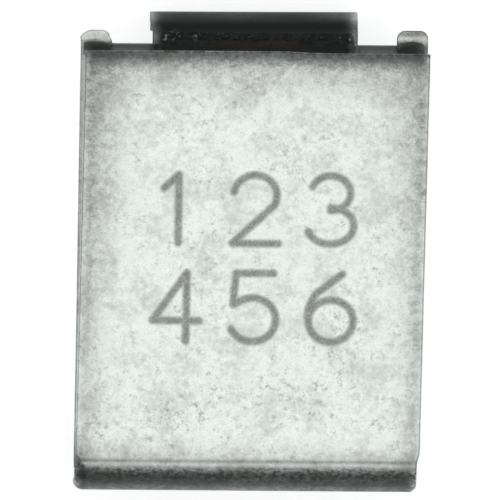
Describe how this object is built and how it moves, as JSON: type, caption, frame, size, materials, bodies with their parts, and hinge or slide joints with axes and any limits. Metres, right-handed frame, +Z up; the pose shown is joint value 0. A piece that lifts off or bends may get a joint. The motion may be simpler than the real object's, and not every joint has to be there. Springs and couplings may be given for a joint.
{
  "type": "smd resettable fuse",
  "caption": "Flat surface-mount resettable fuse: a conductive-polymer chip soldered between folded sheet terminals, each ending in a solder foot tucked under the body.",
  "frame": {"origin": "centre of the footprint, on the plane of the board that both feet stand on", "axes": "+X across the width, +Y along the length towards the end with the narrow tab and the corner nubs, +Z up from the board"},
  "size_m": [0.0064, 0.0088, 0.0026],
  "materials": {
    "tin_plate": "brass sheet under matte tin plate: pale, cloudy grey white, darker on the bends",
    "solder": "tin solder, dulled nearly black by baked flux; its density is near that of cast iron",
    "nickel_foil": "dull nickel foil, seen only at its cut edge",
    "polymer": "black carbon-filled plastic with a matt sawn edge"
  },
  "bodies": {
    "root": {"upper_terminal": "tin_plate", "upper_solder": "solder", "upper_foil": "nickel_foil", "polymer_chip": "polymer", "lower_foil": "nickel_foil", "lower_solder": "solder", "lower_terminal": "tin_plate"}
  },
  "joints": []
}
